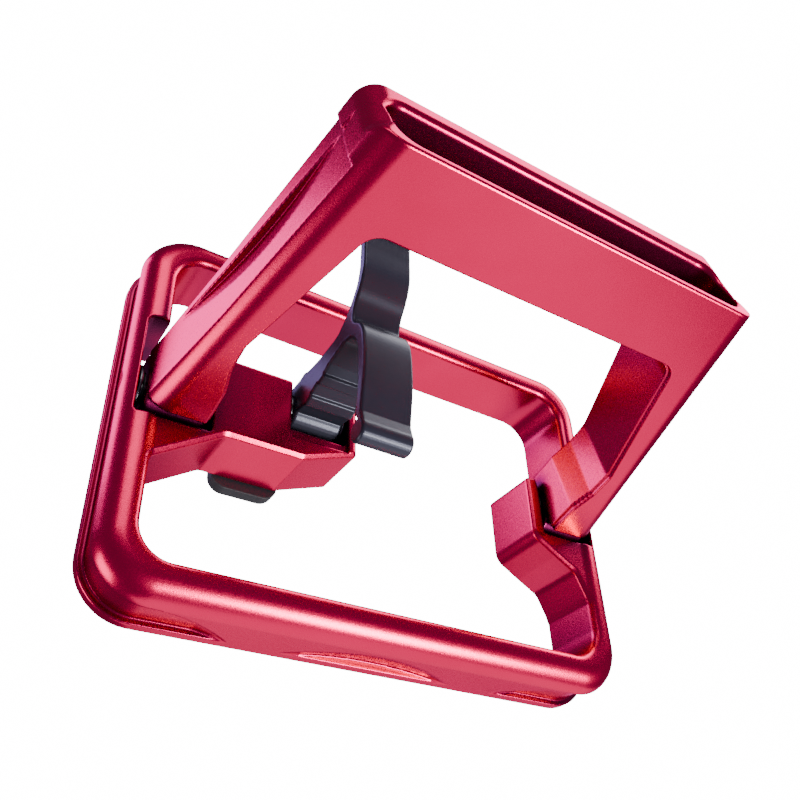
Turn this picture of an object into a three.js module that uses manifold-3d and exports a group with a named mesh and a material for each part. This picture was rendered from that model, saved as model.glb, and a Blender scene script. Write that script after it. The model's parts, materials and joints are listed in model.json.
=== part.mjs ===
// Phone handlebar mount: a machined main frame, a swing frame hinged across it on two pins,
// and a sprung bar hook carried by the short arm of the main frame.
// Millimetres. X runs along the hinge, +Z is up, the front faces -Y.
import * as THREE from 'three';
import { mergeVertices } from 'three/addons/utils/BufferGeometryUtils.js';
import ManifoldModule from 'manifold-3d';

// ---- main frame ----
const FRAME_HALF_W = 51.4, FRAME_HALF_H = 36.8, FRAME_DEPTH = 13.4;
const SIDE_RAIL = 6.0, CROSS_RAIL = 6.3;
const FRAME_R_OUT = 10, FRAME_R_IN = 6, BEAD_R = 4.6;
const GROOVE_DEPTH = 1.0, GROOVE_MID_Y = 7.8, GROOVE_HALF = 3.3;
const SCALLOP_HALF = 16.5, CORNER_GROOVE_END = 27, NO_GROOVE = -0.3;
const PLATE_FRONT = 0.35, PLATE_REACH = 2.4;

// ---- hinge between the frames ----
const HINGE_Y = 6.0, HINGE_Z = 1.5, OPEN_DEG = 77;
const PIN_R = 2.0, BUSH_R = 3.2, BUSH_BORE_R = 3.5, PIN_HOLE_R = 2.3;
const LEG_OUT = 48.0, LEG_IN = 36.9, CHEEK_IN = 33.2, CHEEK_OUT = 35.9;
const POCKET_WALL = 49.2, POCKET_FLOOR = -5.9, POCKET_TOP = 14;
const GAP = 0.3, PLUG_T = 1.0;

// ---- swing frame, in its own closed position about the hinge ----
const SWING_TOP = 62.5, SWING_TOP_HALF = 37.4, SWING_FRONT = 8.4, SWING_BACK = 6.3, SWING_SPREAD = 4.6;
const WINDOW_TOP = 47.8, WINDOW_TOP_HALF = 30.3, KNUCKLE_R = 6.7, SWING_R = 4.4;
const CHANNEL_DEPTH = 9.5, PLATE_T = 1.6, FLANGE_T = 3.9, CHANNEL_HALF = 34.8;

// ---- bar hook and its pin ----
const HOOK_LEFT = -20.4, HOOK_RIGHT = -10.8, HOOK_PIN_R = 1.5;
const HOOK_Y = 4.7, HOOK_Z = 6.4, HUB_R = 4.1, HOOK_BORE_R = 2.5, HOOK_BUSH_R = 2.2;
const ARM_BLOCK_END = -21.5, ARM_CHEEK = [-9.7, -7.8], ARM_TOP = 10.8;
const SPRING_R = 3.0, SPRING_WIRE = 0.4, SPRING_BORE_R = 3.75;

// ---- middle of the handlebar that the hook pulls against the arm ----
const BAR_Y = -10.2, BAR_Z = -4.0;

// ---- rubber pad behind the arm ----
const PAD_X = -24.0, PAD_Z = 1.4, PAD_W = 13, PAD_H = 17.6, PAD_T = 3;

const RED = { color: 0xc81e3c, roughness: 0.32, metalness: 0.9 };
const BLACK = { color: 0x2b2a33, roughness: 0.38, metalness: 0.8 };
const STEEL = { color: 0xb9bcc2, roughness: 0.3, metalness: 1.0 };
const POLYMER = { color: 0x3a3a38, roughness: 0.6, metalness: 0.0 };
const RUBBER = { color: 0x1b1b1e, roughness: 0.85, metalness: 0.0 };

const kernel = await ManifoldModule();
kernel.setup();

// ---------- solids ----------
function toSolid(geometry) {
  const bare = new THREE.BufferGeometry();
  bare.setAttribute('position', geometry.getAttribute('position'));
  if (geometry.index) bare.setIndex(geometry.index);
  const merged = mergeVertices(bare, 1e-5);
  const mesh = new kernel.Mesh({
    numProp: 3,
    vertProperties: new Float32Array(merged.getAttribute('position').array),
    triVerts: new Uint32Array(merged.index.array),
  });
  mesh.merge();
  return new kernel.Manifold(mesh);
}

function toGeometry(solid) {
  const mesh = solid.getMesh();
  const geometry = new THREE.BufferGeometry();
  geometry.setAttribute('position', new THREE.BufferAttribute(new Float32Array(mesh.vertProperties), 3));
  geometry.setIndex(new THREE.BufferAttribute(new Uint32Array(mesh.triVerts), 1));
  geometry.computeVertexNormals();
  return geometry;
}

const join = (...parts) => parts.map(toSolid).reduce((a, b) => a.add(b));
const cut = (solid, ...tools) => tools.map(toSolid).reduce((a, b) => a.subtract(b), solid);

// ---------- building blocks ----------
function box(x0, x1, y0, y1, z0, z1) {
  return new THREE.BoxGeometry(x1 - x0, y1 - y0, z1 - z0)
    .translate((x0 + x1) / 2, (y0 + y1) / 2, (z0 + z1) / 2);
}

function rodX(radius, x0, x1, y, z, sides = 32) {
  return new THREE.CylinderGeometry(radius, radius, x1 - x0, sides)
    .rotateZ(-Math.PI / 2).translate((x0 + x1) / 2, y, z);
}

function rodY(radius, y0, y1, x, z, sides = 28) {
  return new THREE.CylinderGeometry(radius, radius, y1 - y0, sides).translate(x, (y0 + y1) / 2, z);
}

// Ring or stepped collar turned about an axis along X.
function turnedX(profile, y, z, sides = 32) {
  return new THREE.LatheGeometry(profile.map(([r, x]) => new THREE.Vector2(r, x)), sides)
    .rotateZ(-Math.PI / 2).translate(0, y, z);
}

const ringX = (inner, outer, x0, x1, y, z, sides) =>
  turnedX([[inner, x0], [outer, x0], [outer, x1], [inner, x1], [inner, x0]], y, z, sides);

// Stack of outlines [[x, z] ...], all with the same number of corners, joined front to back.
function loftY(layers) {
  const n = layers[0].pts.length;
  const position = [];
  layers.forEach(({ pts, y }) => pts.forEach(([x, z]) => {
    position.push(x, typeof y === 'function' ? y([x, z]) : y, z);
  }));
  const index = [];
  for (let k = 0; k + 1 < layers.length; k++) {
    for (let i = 0; i < n; i++) {
      const j = (i + 1) % n, a = k * n + i, b = k * n + j, c = (k + 1) * n + i, d = (k + 1) * n + j;
      index.push(a, d, b, a, c, d);
    }
  }
  const cap = (layer) => THREE.ShapeUtils.triangulateShape(
    layer.pts.map(([x, z]) => new THREE.Vector2(x, z)), []);
  cap(layers[0]).forEach(([a, b, c]) => index.push(a, b, c));
  const base = (layers.length - 1) * n;
  cap(layers.at(-1)).forEach(([a, b, c]) => index.push(base + a, base + c, base + b));
  const geometry = new THREE.BufferGeometry();
  geometry.setAttribute('position', new THREE.Float32BufferAttribute(position, 3));
  geometry.setIndex(index);
  return geometry;
}

// Outlines run anticlockwise seen from the front; inset moves every corner along its normal.
function inset(pts, amount) {
  const n = pts.length;
  return pts.map(([x, z], i) => {
    const a = pts[(i + n - 1) % n], b = pts[(i + 1) % n];
    let nx = (b[1] - a[1]), nz = -(b[0] - a[0]);
    const len = Math.hypot(nx, nz);
    const by = typeof amount === 'function' ? amount(x, z) : amount;
    return [x - (nx / len) * by, z - (nz / len) * by];
  });
}

// Rounds the corners of a polygon; each corner is [x, z, radius].
function rounded(corners, step = 15) {
  const out = [];
  corners.forEach(([x, z, r = 0], i) => {
    const p = new THREE.Vector2(x, z);
    const before = new THREE.Vector2(...corners.at(i - 1).slice(0, 2)).sub(p).normalize();
    const after = new THREE.Vector2(...corners[(i + 1) % corners.length].slice(0, 2)).sub(p).normalize();
    if (!r) { out.push([x, z]); return; }
    const half = Math.acos(THREE.MathUtils.clamp(before.dot(after), -1, 1)) / 2;
    const reach = r / Math.tan(half);
    const centre = before.clone().add(after).normalize().multiplyScalar(r / Math.sin(half)).add(p);
    const start = before.clone().multiplyScalar(reach).add(p).sub(centre);
    const end = after.clone().multiplyScalar(reach).add(p).sub(centre);
    let turn = end.angle() - start.angle();
    if (turn > Math.PI) turn -= 2 * Math.PI;
    if (turn < -Math.PI) turn += 2 * Math.PI;
    const count = Math.max(2, Math.ceil(Math.abs(THREE.MathUtils.radToDeg(turn)) / step));
    for (let k = 0; k <= count; k++) {
      const a = start.angle() + (turn * k) / count;
      out.push([centre.x + r * Math.cos(a), centre.y + r * Math.sin(a)]);
    }
  });
  return out;
}

const ccw = (pts) => (THREE.ShapeUtils.area(pts.map(([x, z]) => new THREE.Vector2(x, z))) > 0
  ? pts : [...pts].reverse());

// Closed polygon [[y, z] ...] drawn in the side view and extruded from x0 to x1.
function extrudeX(pts, x0, x1) {
  const outline = ccw(pts);
  return loftY([{ pts: outline, y: -x1 }, { pts: outline, y: -x0 }])
    .applyMatrix4(new THREE.Matrix4().set(0, -1, 0, 0, 1, 0, 0, 0, 0, 0, 1, 0, 0, 0, 0, 1));
}

// ---------- main frame ----------
// Stations round a rounded rectangle, as an inner and an outer point pair.
function stations() {
  const list = [];
  const inW = FRAME_HALF_W - SIDE_RAIL, inH = FRAME_HALF_H - CROSS_RAIL;
  const corner = (sx, sz, from) => {
    for (let k = 0; k <= 8; k++) {
      const a = THREE.MathUtils.degToRad(from + (90 * k) / 8);
      const at = (w, h, r) => [sx * (w - r) + r * Math.cos(a), sz * (h - r) + r * Math.sin(a)];
      list.push({ inner: at(inW, inH, FRAME_R_IN), outer: at(FRAME_HALF_W, FRAME_HALF_H, FRAME_R_OUT) });
    }
  };
  const side = (count) => {
    const a = list.at(-1);
    return (b) => {
      for (let k = 1; k < count; k++) {
        const t = k / count, mix = (p, q) => [p[0] + (q[0] - p[0]) * t, p[1] + (q[1] - p[1]) * t];
        list.push({ inner: mix(a.inner, b.inner), outer: mix(a.outer, b.outer) });
      }
    };
  };
  const ring = [];
  [[1, 1, 0], [-1, 1, 90], [-1, -1, 180], [1, -1, 270]].forEach(([sx, sz, from]) => {
    list.length = 0;
    corner(sx, sz, from);
    ring.push(...list);
  });
  const full = [];
  ring.forEach((s, i) => {
    full.push(s);
    const next = ring[(i + 1) % ring.length];
    const gap = Math.hypot(next.outer[0] - s.outer[0], next.outer[1] - s.outer[1]);
    if (gap > 20) {
      list.length = 0;
      list.push(s);
      side(gap > 60 ? 28 : 6)(next);
      full.push(...list.slice(1));
    }
  });
  return full;
}

// Sweeps a closed section round the stations; section(station) gives [across, y] pairs, where
// across is 0 on the inner wall and 1 on the outer wall.
function sweepFrame(ring, section) {
  const sections = ring.map(section), n = ring.length, m = sections[0].length;
  const position = [], index = [];
  ring.forEach(({ inner, outer }, i) => sections[i].forEach(([u, y]) => {
    position.push(inner[0] + (outer[0] - inner[0]) * u, y, inner[1] + (outer[1] - inner[1]) * u);
  }));
  for (let i = 0; i < n; i++) {
    for (let j = 0; j < m; j++) {
      const a = i * m + j, b = i * m + ((j + 1) % m);
      const c = ((i + 1) % n) * m + j, d = ((i + 1) % n) * m + ((j + 1) % m);
      index.push(a, d, b, a, c, d);
    }
  }
  const geometry = new THREE.BufferGeometry();
  geometry.setAttribute('position', new THREE.Float32BufferAttribute(position, 3));
  geometry.setIndex(index);
  return geometry;
}

function railSection() {
  const points = [[0, 0.7], [0, FRAME_DEPTH - 0.4], [0.08, FRAME_DEPTH], [0.93, FRAME_DEPTH],
    [1, FRAME_DEPTH - 0.5]];
  for (let k = 0; k <= 7; k++) {
    const a = (Math.PI / 2) * (k / 7);
    points.push([0.14 + 0.86 * Math.cos(a), BEAD_R * (1 - Math.sin(a))]);
  }
  return points;
}

// How far the finger grooves bite into the outer wall at a station.
function bite([x, z]) {
  const corner = FRAME_HALF_W - FRAME_R_OUT;
  if (Math.abs(x) > corner) return GROOVE_DEPTH;
  const lens = (d) => GROOVE_DEPTH * Math.sqrt(Math.max(0, 1 - d * d)) || NO_GROOVE;
  const fromCorner = (corner - Math.abs(x)) / (corner - CORNER_GROOVE_END);
  return fromCorner < 1 ? lens(fromCorner) : lens(x / SCALLOP_HALF);
}

function grooveSection(station) {
  const { inner, outer } = station;
  const rail = Math.hypot(outer[0] - inner[0], outer[1] - inner[1]);
  const depth = bite(outer), reach = Math.max(0, depth) / GROOVE_DEPTH;
  const narrow = GROOVE_HALF * 0.7 * reach + 0.05, wide = GROOVE_HALF * reach + 0.1;
  const u = (d) => 1 - d / rail;
  return [[u(depth), GROOVE_MID_Y - narrow], [u(depth), GROOVE_MID_Y + narrow],
    [u(-0.05), GROOVE_MID_Y + wide], [u(-2.5), GROOVE_MID_Y + wide + 0.6],
    [u(-2.5), GROOVE_MID_Y - wide - 0.6], [u(-0.05), GROOVE_MID_Y - wide]];
}

function mainFrame() {
  const ring = stations();
  const slab = (pts) => loftY([
    { pts: inset(pts, 0.35), y: PLATE_FRONT }, { pts, y: PLATE_FRONT + 0.4 },
    { pts, y: FRAME_DEPTH - 0.3 }, { pts: inset(pts, 0.3), y: FRAME_DEPTH },
  ]);
  const wall = FRAME_HALF_W - SIDE_RAIL + PLATE_REACH;
  const arm = rounded([
    [-wall, -16, 0], [-44.8, -13.0, 1.2], [-33.2, -5.6, 2.4], [-18.6, -5.6, 0],
    [ARM_CHEEK[1], -1.6, 0.6], [ARM_CHEEK[1], 10.2, 1.2], [-19, ARM_TOP, 0.8],
    [-35.6, ARM_TOP, 1.0], [-36.6, 0, 0], [-wall, -2, 0],
  ]);
  const ear = rounded([
    [wall, -2, 0], [CHEEK_OUT + 1, 0, 0], [CHEEK_OUT - 0.1, 7.0, 0.6], [CHEEK_IN, 6.6, 0.9],
    [CHEEK_IN, -7.2, 3], [38.5, -10.4, 3], [43.0, -13.0, 3], [45.4, -18.4, 1], [wall, -20.4, 0],
  ]);
  let solid = join(sweepFrame(ring, railSection), slab(arm), slab(ear));
  const pockets = [-1, 1].map((s) => {
    const x = [s * CHEEK_OUT, s * POCKET_WALL].sort((a, b) => a - b);
    return box(x[0], x[1], -2, FRAME_DEPTH + 2, POCKET_FLOOR, POCKET_TOP);
  });
  const pinHoles = [-1, 1].map((s) => {
    const x = [s * (CHEEK_IN + 0.9), s * (FRAME_HALF_W + 2)].sort((a, b) => a - b);
    return rodX(PIN_HOLE_R, x[0], x[1], HINGE_Y, HINGE_Z);
  });
  solid = cut(solid, sweepFrame(ring, grooveSection), ...pockets, ...pinHoles);
  // Fork for the bar hook: open at the front, top and back, with a floor under it.
  solid = cut(solid,
    box(ARM_BLOCK_END, ARM_CHEEK[0], -1, HOOK_Y + HUB_R + 0.9, 0.6, ARM_TOP + 2),
    box(ARM_BLOCK_END, ARM_CHEEK[0], -1, 1.6, -1.6, ARM_TOP + 2),
    rodX(HOOK_PIN_R + 0.3, -29.6, ARM_BLOCK_END + 1, HOOK_Y, HOOK_Z),
    rodX(SPRING_BORE_R, -26.8, ARM_BLOCK_END + 1, HOOK_Y, HOOK_Z),
    rodX(HOOK_PIN_R + 0.3, ARM_CHEEK[0] - 1, ARM_CHEEK[1] + 1, HOOK_Y, HOOK_Z));
  const screwHoles = PAD_SCREWS.map(([x, z]) => rodY(1.25, FRAME_DEPTH - 5, FRAME_DEPTH + 1, x, z, 20));
  return toGeometry(cut(solid, ...screwHoles));
}

// ---------- swing frame ----------
const legOuter = (l) => LEG_OUT - ((LEG_OUT - SWING_TOP_HALF) * Math.max(l - 5, 0)) / (SWING_TOP - 5);

function swingOutline() {
  const right = [
    [LEG_OUT, -KNUCKLE_R, 0], [LEG_OUT, 5, 6], [SWING_TOP_HALF, SWING_TOP, 3.6],
  ];
  const inner = [
    [WINDOW_TOP_HALF, WINDOW_TOP, 3], [38.0, 21.5, 3], [38.0, 16.5, 2], [LEG_IN, 11.5, 2],
    [LEG_IN, -KNUCKLE_R, 0],
  ];
  const mirror = (pts) => pts.map(([x, z, r]) => [-x, z, r]).reverse();
  return rounded([...right, ...mirror(right), ...mirror(inner), ...inner]);
}

// The legs deepen towards the top bar, so the back face leans away from the front plate.
const backFace = (l) => SWING_BACK + (SWING_SPREAD * Math.max(l - 9, 0)) / (SWING_TOP - 9);

function swingFrame() {
  const pts = swingOutline();
  const onEnd = (z) => z > SWING_TOP - 0.05 || z < -KNUCKLE_R + 0.05;
  const onFlank = (x, z) => Math.abs(x) > legOuter(z) - 3.7;
  const round = (r, d) => (d >= r ? 0 : r - Math.sqrt(r * r - (r - d) * (r - d)));
  const at = (d, rFlank, rWindow) => inset(pts, (x, z) =>
    (onEnd(z) ? 0 : round(onFlank(x, z) ? rFlank : rWindow, d)));
  const layers = [];
  for (const d of [0, 0.25, 0.6, 1.1, 1.8, 2.7, 3.6, SWING_R]) {
    layers.push({ pts: at(d, SWING_R, 0.6), y: -SWING_FRONT + d });
  }
  for (const d of [1.6, 1.1, 0.7, 0.35, 0.1, 0]) {
    layers.push({ pts: at(d, 1.6, 0.4), y: ([, z]) => backFace(z) - d });
  }
  const body = toSolid(loftY(layers));
  // Channel along the top between the front plate and the back flange.
  const y0 = -SWING_FRONT + PLATE_T, y1 = backFace(SWING_TOP - CHANNEL_DEPTH) - FLANGE_T;
  const slot = rounded([[CHANNEL_HALF, y0, 4], [CHANNEL_HALF, y1, 4], [-CHANNEL_HALF, y1, 4],
    [-CHANNEL_HALF, y0, 4]], 18);
  const slotTool = loftY([
    { pts: slot, y: -(SWING_TOP + 2) }, { pts: slot, y: -(SWING_TOP - CHANNEL_DEPTH) },
  ]).applyMatrix4(new THREE.Matrix4().set(1, 0, 0, 0, 0, 0, 1, 0, 0, -1, 0, 0, 0, 0, 0, 1));
  // Long shallow finger scallops in the outer walls of the legs.
  const scallops = [-1, 1].map((s) => {
    const lens = [];
    for (let k = 0; k <= 16; k++) {
      const t = -1 + k / 8;
      lens.push([1.5 * (1 - t * t), 36 + 20 * t]);
    }
    const tool = [...lens.map(([d, z]) => [legOuter(z) - d, z]), [LEG_OUT + 4, 56], [LEG_OUT + 4, 16]];
    const outline = ccw(tool.map(([x, z]) => [s * x, z]));
    return loftY([{ pts: outline, y: -2.6 }, { pts: outline, y: 4.4 }]);
  });
  // Rounded knuckles: everything of the leg ends outside the knuckle radius is trimmed.
  const trims = [-1, 1].map((s) => {
    const x = [s * (LEG_IN - 3), s * (LEG_OUT + 3)].sort((a, b) => a - b);
    const arc = [];
    for (let k = 0; k <= 14; k++) {
      const a = Math.PI + (Math.PI * k) / 14;
      const reach = Math.cos(a) < 0 ? KNUCKLE_R : SWING_BACK;
      arc.push([reach * Math.cos(a), KNUCKLE_R * Math.sin(a)]);
    }
    const profile = [
      [-14, 4.8], [-SWING_FRONT, 4.8], [-SWING_FRONT, 4.6], ...arc.slice(2), [14, 0], [14, -12], [-14, -12],
    ];
    return extrudeX(profile, x[0], x[1]);
  });
  let solid = body.subtract(toSolid(slotTool));
  solid = cut(solid, ...scallops, ...trims);
  solid = cut(solid, ...[-1, 1].map((s) => {
    const x = [s * (LEG_IN - 2), s * (LEG_OUT + 2)].sort((a, b) => a - b);
    return rodX(BUSH_BORE_R, x[0], x[1], 0, 0);
  }));
  return toGeometry(solid).rotateX(THREE.MathUtils.degToRad(OPEN_DEG)).translate(0, HINGE_Y, HINGE_Z);
}

// ---------- bar hook ----------
// Side view, [y, z]: finger tab, shoulder, front leg with its barrel foot, and the hub leg.
function hookOutline() {
  const spline = (pts, count) => new THREE.SplineCurve(pts.map(([y, z]) => new THREE.Vector2(y, z)))
    .getPoints(count).map((p) => [p.x, p.y]);
  const foot = [];
  for (let k = 0; k <= 10; k++) {
    const a = THREE.MathUtils.degToRad(150 + (300 * k) / 10);
    foot.push([-20.2 + 2.1 * Math.cos(a), -12.6 + 2.1 * Math.sin(a)]);
  }
  const hub = [];
  for (let k = 0; k <= 12; k++) {
    const a = THREE.MathUtils.degToRad(-150 + (235 * k) / 12);
    hub.push([HOOK_Y + HUB_R * Math.cos(a), HOOK_Z + HUB_R * Math.sin(a)]);
  }
  return [
    ...spline([[-25.2, 32.6], [-24.2, 29], [-23.9, 25.5], [-23.5, 20.6], [-22.0, 16.9], [-20.3, 14.4],
      [-19.4, 11.9], [-19.5, 10.6]], 22),
    ...spline([[-20.2, 9.8], [-21.7, 8.4], [-22.7, 5.8], [-22.9, 1.5], [-22.6, -3.5], [-21.9, -7.6],
      [-21.6, -9.6]], 16),
    ...foot,
    ...spline([[-19.5, -9.4], [-20.2, -6.5], [-20.6, -2.5], [-20.7, 2.6], [-20.2, 5.2], [-18.9, 7.3],
      [-17.2, 7.9], [-15.4, 7.9], [-11, 7.0]], 20),
    [-9.2, 6.2], [-8.9, 5.6], [-7.0, 5.2], [-6.6, 5.6], [-4.4, 4.8], [-4.1, 4.2], [-2.2, 3.6], [-1.8, 4.0],
    ...hub,
    ...spline([[2.6, 11.0], [0, 11.1], [-1.6, 11.5], [-3.2, 11.0], [-8, 10.8], [-13.2, 11.2], [-15.3, 12.2],
      [-17.4, 13.9], [-19.2, 16.0], [-20.6, 18.2], [-21.5, 21.2], [-21.9, 25.5], [-22.3, 29.4],
      [-23.2, 32.4], [-24.2, 33.2]], 34),
  ];
}

function barHook() {
  const solid = toSolid(extrudeX(hookOutline(), HOOK_LEFT, HOOK_RIGHT));
  return toGeometry(cut(solid, rodX(HOOK_BORE_R, HOOK_LEFT - 2, HOOK_RIGHT + 2, HOOK_Y, HOOK_Z)));
}

// ---------- small parts ----------
const PAD_SCREWS = [[PAD_X, PAD_Z + 6.2], [PAD_X, PAD_Z - 1.8]];

function hingePin(side) {
  const [x0, x1] = [CHEEK_IN + 1.2, POCKET_WALL];
  const pin = toSolid(turnedX([[0, x0], [PIN_R - 0.3, x0], [PIN_R, x0 + 0.3], [PIN_R, x1], [0, x1]], 0, 0));
  const slot = box(x1 - 0.5, x1 + 1, -0.35, 0.35, -3, 3);
  const solid = pin.subtract(toSolid(slot));
  return toGeometry(solid).rotateY(side > 0 ? 0 : Math.PI).translate(0, HINGE_Y, HINGE_Z);
}

function rearPad() {
  const pts = rounded([[PAD_X + PAD_W / 2, PAD_Z - PAD_H / 2, 3], [PAD_X + PAD_W / 2, PAD_Z + PAD_H / 2, 3],
    [PAD_X - PAD_W / 2, PAD_Z + PAD_H / 2, 3], [PAD_X - PAD_W / 2, PAD_Z - PAD_H / 2, 3]]);
  const y = FRAME_DEPTH + 0.3;
  const solid = toSolid(loftY([{ pts, y }, { pts, y: y + PAD_T - 0.8 },
    { pts: inset(pts, 0.25), y: y + PAD_T - 0.25 }, { pts: inset(pts, 0.8), y: y + PAD_T }]));
  const holes = PAD_SCREWS.flatMap(([x, z]) => [rodY(1.3, y - 1, y + PAD_T + 1, x, z, 24),
    rodY(2.6, y + 1.3, y + PAD_T + 1, x, z, 24)]);
  return toGeometry(cut(solid, ...holes));
}

function padScrew([x, z]) {
  const head = FRAME_DEPTH + 0.3 - 4.3;
  const body = toSolid(new THREE.LatheGeometry([[0, 0], [0.95, 0], [0.95, 5.9], [2.3, 5.9], [2.3, 6.7],
    [2.0, 7.1], [0, 7.1]].map(([r, t]) => new THREE.Vector2(r, t)), 24));
  const socket = new THREE.CylinderGeometry(0.8, 0.8, 1.2, 6).translate(0, 7.0, 0);
  return toGeometry(body.subtract(toSolid(socket)).translate([x, head, z]));
}

function hookSpring() {
  const turns = 4, pitch = 0.98, x0 = -26.1;
  class Helix extends THREE.Curve {
    getPoint(t) {
      const a = t * turns * 2 * Math.PI;
      return new THREE.Vector3(x0 + t * turns * pitch, HOOK_Y + SPRING_R * Math.cos(a),
        HOOK_Z + SPRING_R * Math.sin(a));
    }
  }
  const section = new THREE.Shape();
  section.absarc(0, 0, SPRING_WIRE, 0, 2 * Math.PI);
  return new THREE.ExtrudeGeometry(section, { steps: 64, curveSegments: 3, extrudePath: new Helix() });
}

// ---------- assembly ----------
const mount = new THREE.Group();
mount.name = 'phone_handlebar_mount';

// Everything is drawn about the middle of the main frame's front; the part's own origin is the
// middle of the handlebar that it grips.
const ORIGIN = new THREE.Vector3((HOOK_LEFT + HOOK_RIGHT) / 2, BAR_Y, BAR_Z);

function add(name, geometry, finish) {
  const mesh = new THREE.Mesh(geometry, new THREE.MeshStandardMaterial(finish));
  mesh.name = name;
  mesh.position.copy(ORIGIN).negate();
  mount.add(mesh);
}

add('main_frame', mainFrame(), RED);
add('swing_frame', swingFrame(), RED);
add('bar_hook', barHook(), BLACK);
for (const [label, s] of [['left', -1], ['right', 1]]) {
  const ring = (outer, a, b) =>
    ringX(PIN_HOLE_R, outer, ...[s * a, s * b].sort((p, q) => p - q), HINGE_Y, HINGE_Z);
  const plug = [s * (POCKET_WALL + GAP), s * (POCKET_WALL + PLUG_T)].sort((p, q) => p - q);
  add(`hinge_pin_${label}`, hingePin(s), STEEL);
  add(`hinge_bush_${label}`, ring(BUSH_R, LEG_IN + GAP, LEG_OUT - GAP), POLYMER);
  add(`thrust_washer_${label}`, ring(4.6, LEG_OUT + GAP, LEG_OUT + 0.85), STEEL);
  add(`hinge_plug_${label}`, rodX(PIN_R, ...plug, HINGE_Y, HINGE_Z), BLACK);
  add(`friction_washer_${label}`, ring(5.0, CHEEK_OUT + GAP, LEG_IN - GAP), POLYMER);
}
add('hook_pin', turnedX([[0, -29.3], [HOOK_PIN_R, -29.3], [HOOK_PIN_R, -7.5], [2.7, -7.5], [2.7, -6.5],
  [2.2, -6.1], [0, -6.1]], HOOK_Y, HOOK_Z), STEEL);
const hookRing = (outer, x0, x1) => ringX(HOOK_PIN_R + GAP, outer, x0, x1, HOOK_Y, HOOK_Z);
add('hook_bush', hookRing(HOOK_BUSH_R, HOOK_LEFT + 0.2, HOOK_RIGHT - 0.2), POLYMER);
add('hook_washer_left', hookRing(3.4, ARM_BLOCK_END + GAP, HOOK_LEFT - GAP), STEEL);
add('hook_washer_right', hookRing(3.4, HOOK_RIGHT + GAP, ARM_CHEEK[0] - GAP), STEEL);
add('hook_spring', hookSpring(), STEEL);
add('rear_pad', rearPad(), RUBBER);
add('rear_pad_screw_upper', padScrew(PAD_SCREWS[0]), STEEL);
add('rear_pad_screw_lower', padScrew(PAD_SCREWS[1]), STEEL);

export default mount;
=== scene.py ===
"""Phone handlebar mount: the looks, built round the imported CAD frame.

The two frames, the hook, the pad and its screws are worked out as distance fields, in millimetres about
the middle of the main frame's front, and turned into fine meshes whose edges are all broken or rounded.
Turned pieces are lathed, and the spring is a tube along a helix.
"""
import json
import math

import bpy
import numpy as np
from mathutils import Matrix, Vector


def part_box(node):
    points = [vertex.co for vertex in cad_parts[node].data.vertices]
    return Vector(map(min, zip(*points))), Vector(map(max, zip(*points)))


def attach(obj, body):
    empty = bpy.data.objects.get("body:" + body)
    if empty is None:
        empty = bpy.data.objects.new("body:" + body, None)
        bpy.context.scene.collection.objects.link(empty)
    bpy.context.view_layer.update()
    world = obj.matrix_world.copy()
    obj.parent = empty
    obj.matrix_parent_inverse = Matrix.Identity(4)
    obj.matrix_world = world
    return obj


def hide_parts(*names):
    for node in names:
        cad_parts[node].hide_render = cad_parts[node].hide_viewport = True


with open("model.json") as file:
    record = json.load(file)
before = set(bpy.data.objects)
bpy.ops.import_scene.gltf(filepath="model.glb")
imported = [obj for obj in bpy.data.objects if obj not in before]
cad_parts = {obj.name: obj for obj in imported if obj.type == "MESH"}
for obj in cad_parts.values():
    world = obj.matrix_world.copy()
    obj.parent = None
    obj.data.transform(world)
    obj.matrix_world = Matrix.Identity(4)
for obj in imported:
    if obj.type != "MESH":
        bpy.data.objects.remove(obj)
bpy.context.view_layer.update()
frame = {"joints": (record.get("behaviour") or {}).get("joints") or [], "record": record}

MM = 0.001
# Cell sizes of the meshes, in millimetres: the two frames, then the smaller pieces.
FINE = 0.22
HOOK_CELL, PAD_CELL, SCREW_CELL = FINE * 0.65, FINE * 0.6, FINE * 0.4
ARC_STEP = 6        # degrees between the points of a rounded corner
PAST = 2            # how far a cut runs past the face that it opens
# How far out from the surface the painted shade looks for room, and how quickly that painted shade deepens.
OPEN_REACH, OPEN_POWER, EVEN_ROUNDS = (3.0, 12.0), 0.7, 4


# ---------- places and sizes taken from the frame ----------
def node_box(node):
    """Lowest and highest corner of a CAD node, in millimetres."""
    low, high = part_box(node)
    return np.array(low) / MM, np.array(high) / MM


FRAME_LOW, FRAME_HIGH = node_box("main_frame")
MIDDLE = (FRAME_LOW + FRAME_HIGH) / 2
MIDDLE[1] = FRAME_LOW[1]
HALF_W, HALF_H = (FRAME_HIGH[0] - FRAME_LOW[0]) / 2, (FRAME_HIGH[2] - FRAME_LOW[2]) / 2
DEPTH = FRAME_HIGH[1] - FRAME_LOW[1]


def placed(node):
    """Lowest and highest corner of a CAD node, about the middle of the main frame's front."""
    low, high = node_box(node)
    return low - MIDDLE, high - MIDDLE


def joint_place(name):
    """Y and Z of a joint's axis, about the middle of the main frame's front."""
    joint = next(j for j in frame["joints"] if j["name"] == name)
    place = np.array(joint["pos_m"]) / MM - MIDDLE
    return place[1], place[2]


HINGE_Y, HINGE_Z = joint_place("swing_hinge")
HOOK_Y, HOOK_Z = joint_place("hook_pivot")
PLATE_NORMAL = next(m for m in frame["record"]["mounts"] if m["name"] == "swing_front")["axis"]
OPEN = math.atan2(-PLATE_NORMAL[2], -PLATE_NORMAL[1])

# ---------- distance fields: negative inside, millimetres; r is the radius of an edge ----------
def round_and(a, b, r):
    """What is in both, with the edge where their faces meet rounded to r."""
    return np.minimum(np.maximum(a, b), -r) + np.hypot(np.maximum(a + r, 0), np.maximum(b + r, 0))


def round_or(a, b, r):
    """Both together, with a fillet of r where they meet."""
    return -round_and(-a, -b, r)


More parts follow.
